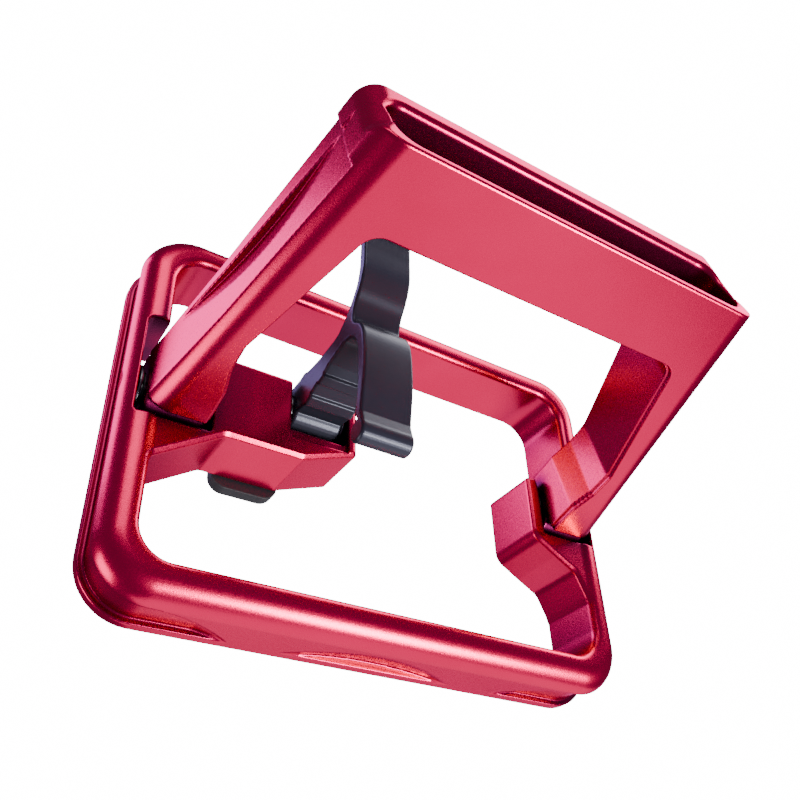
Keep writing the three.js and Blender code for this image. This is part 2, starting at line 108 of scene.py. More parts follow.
def chamfer_and(a, b, c):
    """What is in both, with a flat chamfer of leg c on the edge."""
    return np.maximum(np.maximum(a, b), (a + b + c) * math.sqrt(0.5))


def cut(a, tool, r):
    """a without the tool, with the rim of the cut broken to r."""
    return round_and(a, -tool, r)


def span(v, low, high):
    return np.abs(v - (low + high) / 2) - (high - low) / 2


def rounded_rect(u, v, w, h, r):
    p, q = np.abs(u) - (w - r), np.abs(v) - (h - r)
    return np.hypot(np.maximum(p, 0), np.maximum(q, 0)) + np.minimum(np.maximum(p, q), 0) - r


def polygon(u, v, corners):
    """Distance to a closed outline in the plane of u and v."""
    near = np.full(np.broadcast(u, v).shape, 1e9, np.float32)
    inside = np.zeros(near.shape, bool)
    for (ax, ay), (bx, by) in zip(corners, corners[-1:] + corners[:-1]):
        ex, ey = bx - ax, by - ay
        wx, wy = u - ax, v - ay
        t = np.clip((wx * ex + wy * ey) / (ex * ex + ey * ey), 0, 1)
        near = np.minimum(near, (wx - ex * t) ** 2 + (wy - ey * t) ** 2)
        above, below, left = v >= ay, v < by, ex * wy > ey * wx
        inside ^= (above & below & left) | (~above & ~below & ~left)
    return np.where(inside, -1, 1) * np.sqrt(near)


def rounded(corners):
    """Outline of a polygon whose corners are (u, v, radius)."""
    out = []
    for i, (u, v, r) in enumerate(corners):
        if not r:
            out.append((u, v))
            continue
        here = Vector((u, v))
        before = (Vector(corners[i - 1][:2]) - here).normalized()
        after = (Vector(corners[(i + 1) % len(corners)][:2]) - here).normalized()
        half = math.acos(max(-1, min(1, before.dot(after)))) / 2
        centre = here + (before + after).normalized() * (r / math.sin(half))
        start = before * (r / math.tan(half)) + here - centre
        end = after * (r / math.tan(half)) + here - centre
        a0, a1 = math.atan2(start.y, start.x), math.atan2(end.y, end.x)
        turn = (a1 - a0 + math.pi) % (2 * math.pi) - math.pi
        count = max(2, math.ceil(abs(math.degrees(turn)) / ARC_STEP))
        for k in range(count + 1):
            a = a0 + turn * k / count
            out.append((centre.x + r * math.cos(a), centre.y + r * math.sin(a)))
    return out


def spline(points, count):
    """Catmull-Rom curve through points, as count + 1 of its own."""
    p = [np.array(q, float) for q in points]
    p = [p[0], *p, p[-1]]
    out = []
    for k in range(count + 1):
        at = k / count * (len(points) - 1)
        i = min(int(at), len(points) - 2)
        t = at - i
        a, b, c, d = p[i:i + 4]
        square, cube = 2 * a - 5 * b + 4 * c - d, 3 * b - a - 3 * c + d
        out.append(tuple(0.5 * (2 * b + (c - a) * t + square * t ** 2 + cube * t ** 3)))
    return out


# ---------- meshes ----------
def surface(field, low, step):
    """Corners and quads of a field's zero surface: one corner in each cell that the surface crosses."""
    inside = field < 0
    shape = np.array(field.shape) - 1
    part = lambda arr, d: arr[d[0]:d[0] + shape[0], d[1]:d[1] + shape[1], d[2]:d[2] + shape[2]]
    offsets = [(i, j, k) for i in (0, 1) for j in (0, 1) for k in (0, 1)]
    count = sum(part(inside, d).astype(np.int8) for d in offsets)
    cells = np.argwhere((count > 0) & (count < 8))
    number = np.full(shape, -1, np.int32)
    number[tuple(cells.T)] = np.arange(len(cells))
    total, crossings = np.zeros((len(cells), 3)), np.zeros((len(cells), 1))
    for a in offsets:
        for axis in range(3):
            if a[axis]:
                continue
            b = list(a)
            b[axis] = 1
            va, vb = field[tuple((cells + a).T)], field[tuple((cells + b).T)]
            hit = (va < 0) != (vb < 0)
            t = va[hit] / (va[hit] - vb[hit])
            point = np.tile(np.array(a, float), (len(t), 1))
            point[:, axis] += t
            total[hit] += point
            crossings[hit] += 1
    corners = (cells + total / crossings) * step + low
    quads = []
    for axis in range(3):
        u, v = (axis + 1) % 3, (axis + 2) % 3
        first = [slice(1, -1)] * 3
        first[axis] = slice(0, -1)
        second = list(first)
        second[axis] = slice(1, None)
        a, b = inside[tuple(first)], inside[tuple(second)]
        at = np.argwhere(a != b)
        out = a[tuple(at.T)]
        at += [0 if k == axis else 1 for k in range(3)]
        du, dv = np.eye(3, dtype=int)[u], np.eye(3, dtype=int)[v]
        ring = [number[tuple((at - s).T)] for s in (0 * du, du, du + dv, dv)]
        face = np.stack(ring, 1)
        face[~out] = face[~out][:, ::-1]
        quads.append(face)
    return corners, np.concatenate(quads)


def mesh_object(name, corners, faces):
    """A smooth-shaded object from corners in metres and faces with the same number of sides."""
    mesh = bpy.data.meshes.new(name)
    sides = faces.shape[1]
    mesh.vertices.add(len(corners))
    mesh.vertices.foreach_set("co", corners.astype(np.float32).ravel())
    mesh.loops.add(faces.size)
    mesh.loops.foreach_set("vertex_index", faces.astype(np.int32).ravel())
    mesh.polygons.add(len(faces))
    mesh.polygons.foreach_set("loop_start", np.arange(len(faces), dtype=np.int32) * sides)
    mesh.polygons.foreach_set("use_smooth", np.ones(len(faces), bool))
    mesh.update(calc_edges=True)
    mesh.validate()
    made = bpy.data.objects.new(name, mesh)
    bpy.context.scene.collection.objects.link(made)
    return made


def solid(name, field, low, high, step, turn=None, near=None):
    """The object whose inside is field(x, y, z) below 0, meshed within the box low to high. turn places
    a shape drawn in its own position, and near is the field of the piece that it meets at the hinge, which
    deepens the painted shade stored in the "open" attribute there."""
    axes = [np.arange(a - 2 * step, b + 3 * step, step, dtype=np.float32) for a, b in zip(low, high)]
    x, y, z = axes[0][:, None, None], axes[1][None, :, None], axes[2][None, None, :]
    corners, faces = surface(field(x, y, z), [axis[0] for axis in axes], step)
    # Painted shade: how open the surface is at each corner, stored as the "open" attribute, darkens the base
    # colour in recesses and beside the hinge.
    shade = evened(painted_shade_openness(field, corners, near), faces)
    if turn is not None:
        corners = corners @ np.array(turn.to_3x3()).T + np.array(turn.translation)
    made = mesh_object(name, (corners + MIDDLE) * MM, faces)
    made.data.attributes.new("open", "FLOAT", "POINT").data.foreach_set("value", shade)
    return made


def painted_shade_openness(field, corners, near):
    """How open the surface is at each corner, from 0 deep in a recess to 1 on a flat or convex face: the
    room a little way out along the normal, as a share of that way. Close to the hinge, the piece with the
    field near takes up room too. The materials paint shade by it: the lower it is, the darker the base
    colour."""
    here = field(*corners.T)
    slope = np.stack([field(*(corners + 0.1 * np.eye(3)[k]).T) - here for k in range(3)], 1)
    normal = slope / np.maximum(np.linalg.norm(slope, axis=1), 1e-6)[:, None]
    share = np.ones(len(corners))
    for reach in OPEN_REACH:
        share *= np.clip(field(*(corners + reach * normal).T) / reach, 0, 1)
    if near is not None:
        for reach in OPEN_REACH:
            out = corners + reach * normal
            close = np.abs(out[:, 0]) > HINGE_ZONE
            share[close] *= np.clip(near(*out[close].T) / reach, 0, 1)
    return share ** OPEN_POWER


def evened(share, faces):
    """A value at each corner, averaged over the faces round it a few times."""
    used = np.maximum(np.bincount(faces.ravel(), minlength=len(share)), 1)
    for _ in range(EVEN_ROUNDS):
        mean = np.repeat(share[faces].mean(1), faces.shape[1])
        share = np.bincount(faces.ravel(), mean, len(share)) / used
    return share.astype(np.float32)


LATHE_SIDES, WELD_REACH, TURNED_EDGE = 96, 0.005 * MM, 0.12 * MM


def between_rings(i, j, sides):
    """Faces that join ring i of corners to ring j."""
    return [(i * sides + k, j * sides + k, j * sides + (k + 1) % sides, i * sides + (k + 1) % sides)
            for k in range(sides)]


def lathe(name, profile, y, z):
    """A piece turned about an axis along X. The profile is a closed loop of (x, radius), or starts and
    ends on the axis."""
    closed = profile[0][1] > 0
    angles = np.arange(LATHE_SIDES) * 2 * math.pi / LATHE_SIDES
    rings = [np.stack([np.full(LATHE_SIDES, x), y + r * np.cos(angles), z + r * np.sin(angles)], 1)
             for x, r in profile]
    faces = []
    for i in range(len(profile) if closed else len(profile) - 1):
        faces += between_rings(i, (i + 1) % len(profile), LATHE_SIDES)
    made = mesh_object(name, (np.concatenate(rings) + MIDDLE) * MM, np.array(faces))
    weld = made.modifiers.new("weld", "WELD")
    weld.merge_threshold = WELD_REACH
    soften = made.modifiers.new("edge", "BEVEL")
    soften.width = TURNED_EDGE
    soften.segments = 3
    soften.limit_method = "ANGLE"
    return made


TUBE_SIDES = 14
NEVER_ALONG = (1, 0.02, 0.01)       # close to the coil's axis, which its wire never runs along


def tube(name, path, radius):
    """A round wire along a path of points that coils about X, with closed ends."""
    path = np.array(path)
    corners, faces = [], []
    for i, point in enumerate(path):
        along = path[min(i + 1, len(path) - 1)] - path[max(i - 1, 0)]
        along = along / np.linalg.norm(along)
        side = np.cross(along, NEVER_ALONG)
        side /= np.linalg.norm(side)
        other = np.cross(along, side)
        for k in range(TUBE_SIDES):
            a = 2 * math.pi * k / TUBE_SIDES
            corners.append((point + radius * (math.cos(a) * side + math.sin(a) * other) + MIDDLE) * MM)
    for i in range(len(path) - 1):
        faces += between_rings(i, i + 1, TUBE_SIDES)
    faces.append(tuple(range(TUBE_SIDES)))
    faces.append(tuple(reversed(range((len(path) - 1) * TUBE_SIDES, len(path) * TUBE_SIDES))))
    mesh = bpy.data.meshes.new(name)
    mesh.from_pydata([tuple(c) for c in corners], [], faces)
    mesh.polygons.foreach_set("use_smooth", np.ones(len(faces), bool))
    made = bpy.data.objects.new(name, mesh)
    bpy.context.scene.collection.objects.link(made)
    return made


# ---------- materials ----------
def shader(name, **values):
    """A material with its Principled BSDF, whose inputs are set by name."""
    made = bpy.data.materials.new(name)
    made.use_nodes = True
    nodes = made.node_tree.nodes
    nodes.clear()
    out = nodes.new("ShaderNodeOutputMaterial")
    bsdf = nodes.new("ShaderNodeBsdfPrincipled")
    made.node_tree.links.new(bsdf.outputs[0], out.inputs[0])
    for key, value in values.items():
        bsdf.inputs[key.replace("_", " ")].default_value = value
    return made, bsdf


NOISE_LOW, NOISE_HIGH = 0.3, 0.7        # where nearly all of a noise's values lie


def noise(made, scale, detail=2.0, roughness=0.5):
    """Noise in the piece's own coordinates, scale in features per metre."""
    tree = made.node_tree
    place = tree.nodes.new("ShaderNodeTexCoord")
    node = tree.nodes.new("ShaderNodeTexNoise")
    node.inputs["Scale"].default_value = scale
    node.inputs["Detail"].default_value = detail
    node.inputs["Roughness"].default_value = roughness
    tree.links.new(place.outputs["Object"], node.inputs["Vector"])
    return node.outputs["Fac"]


def between(made, amount, low, high):
    """A value that runs from low to high as the noise amount runs over its usual values."""
    tree = made.node_tree
    node = tree.nodes.new("ShaderNodeMapRange")
    limits = {"From Min": NOISE_LOW, "From Max": NOISE_HIGH, "To Min": low, "To Max": high}
    for key, value in limits.items():
        node.inputs[key].default_value = value
    tree.links.new(amount, node.inputs["Value"])
    return node.outputs[0]


def mixed(made, amount, first, second):
    """A colour that runs from first to second. Each is a colour or the output of another node."""
    tree = made.node_tree
    node = tree.nodes.new("ShaderNodeMix")
    node.data_type = "RGBA"
    for key, colour in (("A", first), ("B", second)):
        if isinstance(colour, bpy.types.NodeSocket):
            tree.links.new(colour, node.inputs[key])
        else:
            node.inputs[key].default_value = (*colour, 1)
    tree.links.new(amount, node.inputs["Factor"])
    return node.outputs["Result"]


def bump(made, bsdf, height, distance):
    """Roughens the surface by height, at full strength, distance deep in metres."""
    tree = made.node_tree
    node = tree.nodes.new("ShaderNodeBump")
    node.inputs["Distance"].default_value = distance
    node.inputs["Strength"].default_value = 1.0
    tree.links.new(height, node.inputs["Height"])
    tree.links.new(node.outputs[0], bsdf.inputs["Normal"])


OXIDE_IOR, OXIDE_COAT = 1.7, 0.14
CLOUD_SCALE, BLAST_SCALE = 60, 3800


def anodised(name, deep, bright, recess_shade, edge, rough, grain, metal=1.0):
    """Bead-blasted, dyed aluminium: a fine pitted grain, a painted shade that darkens the base colour where
    the surface is recessed, and a tint that turns towards edge at a glancing angle, as the dyed oxide does."""
    made, bsdf = shader(name, Metallic=metal, Roughness=rough, Specular_Tint=(*edge, 1),
                        Coat_Weight=OXIDE_COAT, Coat_Roughness=rough - 0.04, Coat_IOR=OXIDE_IOR)
    tree = made.node_tree
    cloud = mixed(made, between(made, noise(made, CLOUD_SCALE, 3), 0, 1), deep, bright)
    # Painted shade: the base colour turns to the recess colour where the stored openness is low.
    painted_shade_amount = tree.nodes.new("ShaderNodeAttribute")
    painted_shade_amount.attribute_name = "open"
    tree.links.new(mixed(made, painted_shade_amount.outputs["Fac"], recess_shade, cloud), bsdf.inputs["Base Color"])
    blast = noise(made, BLAST_SCALE, 3, 0.6)
    tree.links.new(between(made, blast, rough - 0.04, rough + 0.05), bsdf.inputs["Roughness"])
    bump(made, bsdf, blast, grain)
    return made


RING_SCALE, STEEL_SCALE, STEEL_GRAIN = 900, 700, 0.000004


def turned_steel(name):
    """Blackened steel with the fine rings that turning leaves."""
    made, bsdf = shader(name, Metallic=1.0, Roughness=0.28, Base_Color=(0.16, 0.16, 0.17, 1))
    tree = made.node_tree
    place = tree.nodes.new("ShaderNodeTexCoord")
    rings = tree.nodes.new("ShaderNodeTexWave")
    rings.wave_type = "BANDS"
    rings.bands_direction = "X"
    rings.inputs["Scale"].default_value = RING_SCALE
    rings.inputs["Distortion"].default_value = 1.5
    tree.links.new(place.outputs["Object"], rings.inputs["Vector"])
    tree.links.new(between(made, noise(made, STEEL_SCALE), 0.2, 0.36), bsdf.inputs["Roughness"])
    bump(made, bsdf, rings.outputs["Fac"], STEEL_GRAIN)
    return made


MOTTLE_SCALE = 90


def matte(name, colour, other, rough, pores, grain):
    """Moulded rubber or bearing polymer, with a pored skin."""
    made, bsdf = shader(name, Roughness=rough, Base_Color=(*colour, 1))
    tree = made.node_tree
    skin = noise(made, pores, 3)
    mottle = between(made, noise(made, MOTTLE_SCALE), 0, 1)
    tree.links.new(mixed(made, mottle, colour, other), bsdf.inputs["Base Color"])
    tree.links.new(between(made, skin, rough - 0.08, rough + 0.1), bsdf.inputs["Roughness"])
    bump(made, bsdf, skin, grain)
    return made


# The finish of each of the record's material slots. Each anodised finish's recess colour is the painted shade
# of its hollows.
SLOTS = {
    "red_anodised": anodised(
        "red_anodised", deep=(0.78, 0.001, 0.078), bright=(0.86, 0.001, 0.092),
        recess_shade=(0.12, 0.001, 0.050), edge=(0.85, 0.08, 0.55), rough=0.28, grain=0.000012),
    "black_anodised": anodised(
        "black_anodised", deep=(0.027, 0.028, 0.043), bright=(0.038, 0.039, 0.058),
        recess_shade=(0.012, 0.012, 0.020), edge=(0.42, 0.42, 0.52), rough=0.34, grain=0.000009, metal=0.3),
    "steel": turned_steel("turned_steel"),
    "polymer": matte("bearing_polymer", colour=(0.045, 0.045, 0.045), other=(0.06, 0.06, 0.058),
                     rough=0.5, pores=1500, grain=0.000008),
    "rubber": matte("moulded_rubber", colour=(0.010, 0.010, 0.014), other=(0.016, 0.016, 0.02),
                    rough=0.62, pores=1900, grain=0.00002),
}


def finish_piece(piece, node, body, slot):
    """Gives the piece its finish, and makes it stand for a CAD node on its body."""
    piece.data.materials.clear()
    piece.data.materials.append(SLOTS[slot])
    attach(piece, body)
    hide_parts(node)


# ---------- main frame ----------
SIDE_RAIL, CROSS_RAIL = 6.0, 6.3
CORNER_OUT, CORNER_IN = 10.0, 6.0
BEAD, INNER_EDGE, BACK_EDGE = 4.4, 1.5, 0.4
# The grip groove runs from GROOVE_TOP back to GROOVE_FOOT, and comes to a point at TAPER_END.
GROOVE_DEPTH, GROOVE_TOP, GROOVE_FOOT, GROOVE_RAMP = 1.15, 4.4, 11.2, 0.9
TAPER_END, TAPER_GAIN, NO_GROOVE = 26.0, 1.6, -0.4
LENS_HALF, LENS_DEPTH, LENS_RISE = 16.5, 1.5, 5.6
ARM_FRONT, WALL = 0.35, HALF_W - SIDE_RAIL + 2.4
# The pocket of each leg, between the cheek beside it and the wall in the rail.
CHEEK_IN, CHEEK_OUT, POCKET_WALL = 33.2, 35.9, 49.2
POCKET_LOW, POCKET_HIGH, POCKET_CORNER = -5.9, 14.0, 0.8
PIN_HOLE, PIN_SEAT = 2.3, 0.9
# Painted shade: beyond this distance from the middle, the other frame's room also darkens the shade at the
# hinge.
HINGE_ZONE = CHEEK_IN - 4
# The fork that the hook turns in is deep behind, for its hub, and shallow in front.
FORK_LEFT, FORK_RIGHT, ARM_END, ARM_TOP = -21.5, -9.7, -7.8, 10.8
FORK_TOP, FORK_FOOT, FORK_BEHIND = ARM_TOP + 4, 0.6, 5.0
FORK_LIP, FORK_LIP_FOOT = 1.6, -1.6
# The bores of the hook's pin and of the spring round it, and how far left each goes.
SHAFT_BORE, SHAFT_END = 1.8, -29.6
SPRING_BORE, SPRING_END = 3.75, -26.8
PAD_X, PAD_Z, PAD_W, PAD_H, PAD_T = -24.0, 1.4, 13.0, 17.6, 3.0
PAD_SCREWS = {"rear_pad_screw_upper": PAD_Z + 6.2, "rear_pad_screw_lower": PAD_Z - 1.8}
SCREW_HOLE, SCREW_REACH = 1.25, 5
ARM = rounded([
    (-WALL, -16, 0), (-44.8, -13.0, 1.2), (-33.2, -5.6, 2.4), (-18.6, -5.6, 0), (ARM_END, -1.6, 0.6),
    (ARM_END, 10.2, 1.2), (-19, ARM_TOP, 0.8), (-35.6, ARM_TOP, 1.0), (-36.6, 0, 0), (-WALL, -2, 0)])
EAR = rounded([
    (WALL, -2, 0), (CHEEK_OUT + 1, 0, 0), (CHEEK_OUT - 0.1, 7.0, 0.6), (CHEEK_IN, 6.6, 0.9),
    (CHEEK_IN, -7.2, 3), (38.5, -10.4, 3), (43.0, -13.0, 3), (45.4, -18.4, 1), (WALL, -20.4, 0)])


def groove_depth(x, y):
    """Depth of the grip groove: full down the sides and round the corners, running out to a point
    along the top and bottom rails."""
    corner = HALF_W - CORNER_OUT
    out = np.clip((corner - np.abs(x)) / (corner - TAPER_END), 0, None)
    share = np.where(out < 1, 1 - out ** 2, NO_GROOVE)
    top = GROOVE_FOOT - (GROOVE_FOOT - GROOVE_TOP) * share
    ramp = np.clip((y - top) / GROOVE_RAMP, NO_GROOVE, 1)
    return GROOVE_DEPTH * np.minimum(np.clip(TAPER_GAIN * share, NO_GROOVE, 1), ramp)


def lens_depth(x, y):
    """Depth of the finger scallop in the middle of a long rail, which ends in an arc towards the front."""
    return LENS_DEPTH * (1 - (x / LENS_HALF) ** 2 - (GROOVE_FOOT - y) / LENS_RISE)


def rails(x, y, z):
    """The rounded rectangle with its bead, groove and scallops."""
    outer = rounded_rect(x, z, HALF_W, HALF_H, CORNER_OUT)
    inner = rounded_rect(x, z, HALF_W - SIDE_RAIL, HALF_H - CROSS_RAIL, CORNER_IN)
    body = round_and(outer, -y, BEAD)
    body = round_and(body, -inner, INNER_EDGE)
    body = round_and(body, y - DEPTH, BACK_EDGE)
    foot = y - GROOVE_FOOT
    body = cut(body, round_and(-outer - groove_depth(x, y), foot, 0.25), 0.2)
    lens = round_and(-outer - lens_depth(x, y), foot, 0.35)
    return cut(body, np.maximum(lens, np.abs(x) - LENS_HALF - 1), 0.15)


def main_frame(x, y, z):
    arm = chamfer_and(polygon(x, z, ARM), ARM_FRONT - y, 0.8)
    ear = chamfer_and(polygon(x, z, EAR), ARM_FRONT - y, 0.6)
    plates = round_and(np.minimum(arm, ear), y - DEPTH, 0.3)
    body = round_or(rails(x, y, z), plates, 0.5)
    pocket = rounded_rect(np.abs(x) - (CHEEK_OUT + POCKET_WALL) / 2, z - (POCKET_LOW + POCKET_HIGH) / 2,
                          (POCKET_WALL - CHEEK_OUT) / 2, (POCKET_HIGH - POCKET_LOW) / 2, POCKET_CORNER)
    body = cut(body, pocket, 0.3)
    pin = np.hypot(y - HINGE_Y, z - HINGE_Z) - PIN_HOLE
    body = cut(body, np.maximum(pin, CHEEK_IN + PIN_SEAT - np.abs(x)), 0.2)
    across = span(x, FORK_LEFT, FORK_RIGHT)
    deep = np.maximum(span(y, -PAST, HOOK_Y + FORK_BEHIND), span(z, FORK_FOOT, FORK_TOP))
    shallow = np.maximum(span(y, -PAST, FORK_LIP), span(z, FORK_LIP_FOOT, FORK_TOP))
    body = cut(body, round_and(across, np.minimum(deep, shallow), 0.4), 0.3)
    shaft = np.hypot(y - HOOK_Y, z - HOOK_Z)
    body = cut(body, np.maximum(shaft - SHAFT_BORE, span(x, SHAFT_END, ARM_END + PAST)), 0.15)
    body = cut(body, np.maximum(shaft - SPRING_BORE, span(x, SPRING_END, FORK_LEFT + 1)), 0.2)
    for screw_z in PAD_SCREWS.values():
        hole = np.hypot(x - PAD_X, z - screw_z) - SCREW_HOLE
        body = cut(body, np.maximum(hole, DEPTH - SCREW_REACH - y), 0.1)
    return body


# ---------- swing frame, drawn closed ----------
SWING_TOP, TOP_HALF, LEG_OUT, LEG_IN = 62.5, 37.4, 48.0, 36.9
PLATE_FRONT, FILLET = -8.4, 4.4
# The flanks lean in from LEAN_START up, and the back spreads from SPREAD_START up.
LEAN_START, SPREAD_START, BACK, SPREAD, HEEL = 5, 9, 6.3, 4.6, 1.1
LEAN = (LEG_OUT - TOP_HALF) / (SWING_TOP - LEAN_START)
SPREAD_SLOPE = SPREAD / (SWING_TOP - SPREAD_START)
# The top edge is nearly sharp in front and well rounded behind.
CROWN_FRONT, CROWN_BACK, CROWN_START, CROWN_RUN = 0.5, 3.6, -6.5, 4
# The flat of the flank, which gets shallower down the leg, and the crescent scooped out of it.
RECESS_TOP, RECESS, RECESS_FADE, FADE_START, FADE_RUN = 55.5, 0.7, 0.4, 25, 20
SCOOP_MID, SCOOP_HALF, SCOOP_DEPTH, SCOOP_FOOT, SCOOP_RISE = 35.0, 20.0, 1.5, 4.6, 6.6
WINDOW_TOP, WINDOW_HALF = 47.8, 30.3
WINDOW = rounded([
    (WINDOW_HALF, WINDOW_TOP, 3), (-WINDOW_HALF, WINDOW_TOP, 3), (-38.0, 21.5, 3), (-38.0, 16.5, 2),
    (-LEG_IN, 11.5, 2), (-LEG_IN, -20, 0), (LEG_IN, -20, 0), (LEG_IN, 11.5, 2), (38.0, 16.5, 2),
    (38.0, 21.5, 3)])
REBATE, REBATE_DEPTH = 0.5, 0.9
KNUCKLE, KNUCKLE_END, BUSH_BORE = 6.7, 4.7, 3.5
SLOT_DEPTH, SLOT_HALF, SLOT_CORNER, PLATE_T, FLANGE_T = 9.5, 34.8, 4.0, 1.6, 3.9
RIM_FRONT, RIM_MORE, RIM_START, RIM_RUN = 0.25, 0.9, -2, 5


def back_face(l):
    return BACK + SPREAD * np.maximum(l - SPREAD_START, 0) / (SWING_TOP - SPREAD_START)


def swing_frame(x, y, l):
    """The swing frame closed: l runs along the legs from the hinge."""
    ax = np.abs(x)
    flank = (ax - LEG_OUT + LEAN * np.maximum(l - LEAN_START, 0)) / math.hypot(1, LEAN)
    body = round_and(flank, PLATE_FRONT - y, FILLET)
    crown = CROWN_FRONT + (CROWN_BACK - CROWN_FRONT) * np.clip((y - CROWN_START) / CROWN_RUN, 0, 1)
    body = round_and(body, l - SWING_TOP, crown)
    facet = RECESS - RECESS_FADE * np.clip((FADE_START - l) / FADE_RUN, 0, 1)
    body = cut(body, np.maximum(-flank - facet, l - RECESS_TOP), 0.12)
    scoop = SCOOP_DEPTH * (1 - ((l - SCOOP_MID) / SCOOP_HALF) ** 2 - (SCOOP_FOOT - y) / SCOOP_RISE)
    body = cut(body, round_and(-flank - RECESS - scoop, y - SCOOP_FOOT, 0.35), 0.12)
    body = round_and(body, (y - back_face(l)) / math.hypot(1, SPREAD_SLOPE), HEEL)
    window = polygon(x, l, WINDOW)
    body = cut(body, window, 0.45)
    body = cut(body, np.maximum(window - REBATE, y - PLATE_FRONT - REBATE_DEPTH), 0.15)
    body = cut(body, np.maximum(l - KNUCKLE_END, KNUCKLE - np.hypot(y, l)), 0.3)
    y0, y1 = PLATE_FRONT + PLATE_T, back_face(SWING_TOP - SLOT_DEPTH) - FLANGE_T
    slot = rounded_rect(x, y - (y0 + y1) / 2, SLOT_HALF, (y1 - y0) / 2, SLOT_CORNER)
    rim = RIM_FRONT + RIM_MORE * np.clip((y - RIM_START) / RIM_RUN, 0, 1)
    body = cut(body, round_and(slot, SWING_TOP - SLOT_DEPTH - l, 0.7), rim)
    bore = np.maximum(np.hypot(y, l) - BUSH_BORE, LEG_IN - PAST - ax)
    return cut(body, bore, 0.25)


SWUNG = Matrix.Translation((0, HINGE_Y, HINGE_Z)) @ Matrix.Rotation(OPEN, 4, "X")


def main_from_swing(x, y, l):
    """The main frame, seen from the swing frame's own position."""
    return main_frame(x, HINGE_Y + y * math.cos(OPEN) - l * math.sin(OPEN),
                      HINGE_Z + y * math.sin(OPEN) + l * math.cos(OPEN))


def swing_from_main(x, y, z):
    """The swing frame where it stands at rest, seen from the main frame."""
    y, z = y - HINGE_Y, z - HINGE_Z
    return swing_frame(x, y * math.cos(OPEN) + z * math.sin(OPEN), z * math.cos(OPEN) - y * math.sin(OPEN))


finish_piece(
    solid("main_frame_machined", main_frame, (-HALF_W, 0, -HALF_H), (HALF_W, DEPTH, HALF_H), FINE,
          near=swing_from_main),
    "main_frame", "main", "red_anodised")
finish_piece(
    solid("swing_frame_machined", swing_frame, (-LEG_OUT, PLATE_FRONT, -KNUCKLE),
          (LEG_OUT, BACK + SPREAD, SWING_TOP), FINE, SWUNG, main_from_swing),
    "swing_frame", "swing", "red_anodised")


# ---------- bar hook ----------
HOOK_LEFT, HOOK_RIGHT, HOOK_BORE, HOOK_CHAMFER = -20.4, -10.8, 2.5, 0.32
HUB, TOE, TOE_Y, TOE_Z = 4.1, 2.1, -20.2, -12.6


def arc(y, z, radius, angles):
    return [(y + radius * math.cos(math.radians(a)), z + radius * math.sin(math.radians(a))) for a in angles]


# Side view of the hook, as (y, z).
HOOK = [
    *spline([(-25.2, 32.6), (-24.2, 29), (-23.9, 25.5), (-23.5, 20.6), (-22.0, 16.9), (-20.3, 14.4),
             (-19.4, 11.9), (-19.5, 10.6)], 44),
    *spline([(-20.2, 9.8), (-21.7, 8.4), (-22.7, 5.8), (-22.9, 1.5), (-22.6, -3.5), (-21.9, -7.6),
             (-21.6, -9.6)], 32),
    *arc(TOE_Y, TOE_Z, TOE, range(150, 451, 15)),
    *spline([(-19.5, -9.4), (-20.2, -6.5), (-20.6, -2.5), (-20.7, 2.6), (-20.2, 5.2), (-18.9, 7.3),
             (-17.2, 7.9), (-15.4, 7.9), (-11, 7.0)], 40),
    (-9.2, 6.2), (-8.9, 5.6), (-7.0, 5.2), (-6.6, 5.6), (-4.4, 4.8), (-4.1, 4.2), (-2.2, 3.6), (-1.8, 4.0),
    *arc(HOOK_Y, HOOK_Z, HUB, np.linspace(-150, 85, 24)),
    *spline([(2.6, 11.0), (0, 11.1), (-1.6, 11.5), (-3.2, 11.0), (-8, 10.8), (-13.2, 11.2), (-15.3, 12.2),
             (-17.4, 13.9), (-19.2, 16.0), (-20.6, 18.2), (-21.5, 21.2), (-21.9, 25.5), (-22.3, 29.4),
             (-23.2, 32.4), (-24.2, 33.2)], 70),
]


def bar_hook(x, y, z):
    body = chamfer_and(polygon(y, z, HOOK), span(x, HOOK_LEFT, HOOK_RIGHT), HOOK_CHAMFER)
    return cut(body, np.hypot(y - HOOK_Y, z - HOOK_Z) - HOOK_BORE, 0.2)


finish_piece(solid("bar_hook_machined", bar_hook, *placed("bar_hook"), HOOK_CELL),
             "bar_hook", "hook", "black_anodised")

# ---------- rubber pad and its screws ----------
PAD_GAP, PAD_CORNER, PAD_EDGE = 0.3, 3, 0.9
RIB_PITCH, RIB_SHIFT, RIB_RADIUS, RIB_MARGIN = 2.9, 1.4, 0.45, 1.6
PAD_HOLE, PAD_COUNTERBORE, PAD_SEAT = 1.3, 2.6, 1.7
# Cap screw: where its tip is from the back of the frame, and its radii and lengths from there.
SCREW_TIP, SHANK, SHANK_END = 4.3, 0.95, 6.2
CAP, CAP_START, CAP_END, HEX_SOCKET = 2.3, 5.9, 7.1, 0.75


def rear_pad(x, y, z):
    edge = rounded_rect(x - PAD_X, z - PAD_Z, PAD_W / 2, PAD_H / 2, PAD_CORNER)
    back = y - DEPTH - PAD_GAP - PAD_T
    body = round_and(round_and(edge, back, PAD_EDGE), DEPTH + PAD_GAP - y, 0.2)
    for rib in range(-2, 3):
        groove = np.hypot(z - PAD_Z - RIB_PITCH * rib + RIB_SHIFT, back) - RIB_RADIUS
        body = cut(body, np.maximum(groove, np.abs(x - PAD_X) - PAD_W / 2 + RIB_MARGIN), 0.15)
    for screw_z in PAD_SCREWS.values():
        r = np.hypot(x - PAD_X, z - screw_z)
        seat = np.maximum(r - PAD_COUNTERBORE, PAD_SEAT - PAD_T - back)
        body = cut(body, np.minimum(r - PAD_HOLE, seat), 0.15)
    return body


finish_piece(solid("rear_pad_moulded", rear_pad, *placed("rear_pad"), PAD_CELL), "rear_pad", "main", "rubber")


